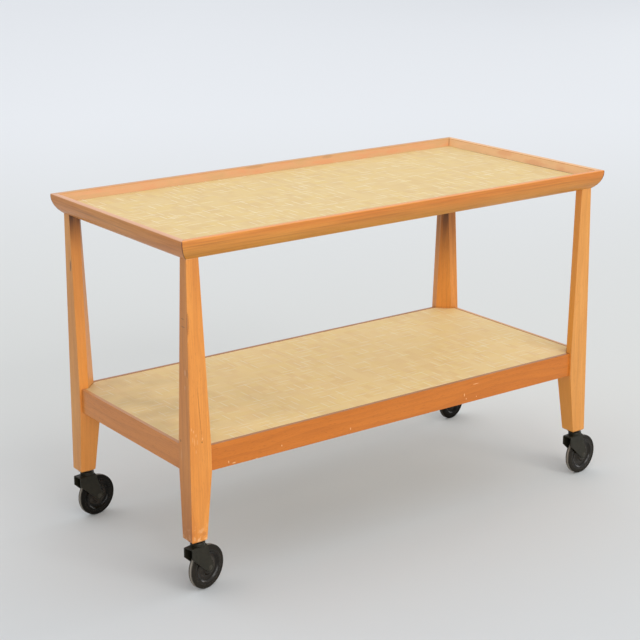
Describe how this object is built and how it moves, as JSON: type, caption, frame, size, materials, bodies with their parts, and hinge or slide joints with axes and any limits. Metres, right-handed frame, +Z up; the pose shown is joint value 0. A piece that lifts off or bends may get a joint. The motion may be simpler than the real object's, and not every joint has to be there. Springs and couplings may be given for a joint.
{
  "type": "serving trolley",
  "caption": "Wooden serving trolley with a rimmed tray on top, a shelf below, tapered legs and swivel casters.",
  "frame": {"origin": "on the floor under the middle of the tray", "axes": "+X along the tray's length, +Y from front to back, +Z up"},
  "size_m": [0.8325, 0.386, 0.533],
  "materials": {
    "stained_wood": "satin lacquer over a warm stain",
    "bare_wood": "bare, planed",
    "plywood": "bare, sanded",
    "laminate": "satin sheet with a printed weave",
    "black_steel": "black enamel",
    "blackened_steel": "blackened, rubbed",
    "dull_steel": "dull mild steel",
    "phenolic": "polished moulding",
    "hard_rubber": "dusty, worn matt"
  },
  "bodies": {
    "frame": {"tray_rim_front": "stained_wood", "tray_rim_back": "stained_wood", "tray_rim_left": "stained_wood", "tray_rim_right": "stained_wood", "leg_front_left": "stained_wood", "leg_front_right": "stained_wood", "leg_back_left": "stained_wood", "leg_back_right": "stained_wood", "shelf_rail_front": "stained_wood", "shelf_rail_back": "stained_wood", "shelf_rail_left": "stained_wood", "shelf_rail_right": "stained_wood", "rail_dowels": "bare_wood", "leg_dowels": "bare_wood", "tray_board": "plywood", "shelf_board": "plywood", "tray_laminate": "laminate", "shelf_laminate": "laminate", "front_left_socket": "blackened_steel", "front_left_stem": "blackened_steel", "front_right_socket": "blackened_steel", "front_right_stem": "blackened_steel", "back_left_socket": "blackened_steel", "back_left_stem": "blackened_steel", "back_right_socket": "blackened_steel", "back_right_stem": "blackened_steel"},
    "front_left_caster": {"front_left_race": "black_steel", "front_left_fork": "black_steel", "front_left_axle": "dull_steel"},
    "front_left_wheel": {"front_left_bush": "dull_steel", "front_left_wheel_disc": "phenolic", "front_left_tyre": "hard_rubber"},
    "front_right_caster": {"front_right_race": "black_steel", "front_right_fork": "black_steel", "front_right_axle": "dull_steel"},
    "front_right_wheel": {"front_right_bush": "dull_steel", "front_right_wheel_disc": "phenolic", "front_right_tyre": "hard_rubber"},
    "back_left_caster": {"back_left_race": "black_steel", "back_left_fork": "black_steel", "back_left_axle": "dull_steel"},
    "back_left_wheel": {"back_left_bush": "dull_steel", "back_left_wheel_disc": "phenolic", "back_left_tyre": "hard_rubber"},
    "back_right_caster": {"back_right_race": "black_steel", "back_right_fork": "black_steel", "back_right_axle": "dull_steel"},
    "back_right_wheel": {"back_right_bush": "dull_steel", "back_right_wheel_disc": "phenolic", "back_right_tyre": "hard_rubber"}
  },
  "joints": [
    {"name": "front_left_swivel", "type": "hinge", "parent": "frame", "child": "front_left_caster", "pos_m": [-0.378, -0.16875, 0.074], "axis": [0, 0, 1], "continuous": true},
    {"name": "front_left_roll", "type": "hinge", "parent": "front_left_caster", "child": "front_left_wheel", "pos_m": [-0.35772, -0.16331, 0.0335], "axis": [-0.2588, 0.9659, 0], "continuous": true},
    {"name": "front_right_swivel", "type": "hinge", "parent": "frame", "child": "front_right_caster", "pos_m": [0.378, -0.16875, 0.074], "axis": [0, 0, 1], "continuous": true},
    {"name": "front_right_roll", "type": "hinge", "parent": "front_right_caster", "child": "front_right_wheel", "pos_m": [0.39888, -0.16655, 0.0335], "axis": [-0.1045, 0.9945, 0], "continuous": true},
    {"name": "back_left_swivel", "type": "hinge", "parent": "frame", "child": "back_left_caster", "pos_m": [-0.378, 0.16875, 0.074], "axis": [0, 0, 1], "continuous": true},
    {"name": "back_left_roll", "type": "hinge", "parent": "back_left_caster", "child": "back_left_wheel", "pos_m": [-0.35732, 0.1724, 0.0335], "axis": [-0.1736, 0.9848, 0], "continuous": true},
    {"name": "back_right_swivel", "type": "hinge", "parent": "frame", "child": "back_right_caster", "pos_m": [0.378, 0.16875, 0.074], "axis": [0, 0, 1], "continuous": true},
    {"name": "back_right_roll", "type": "hinge", "parent": "back_right_caster", "child": "back_right_wheel", "pos_m": [0.39846, 0.17347, 0.0335], "axis": [-0.225, 0.9744, 0], "continuous": true}
  ]
}
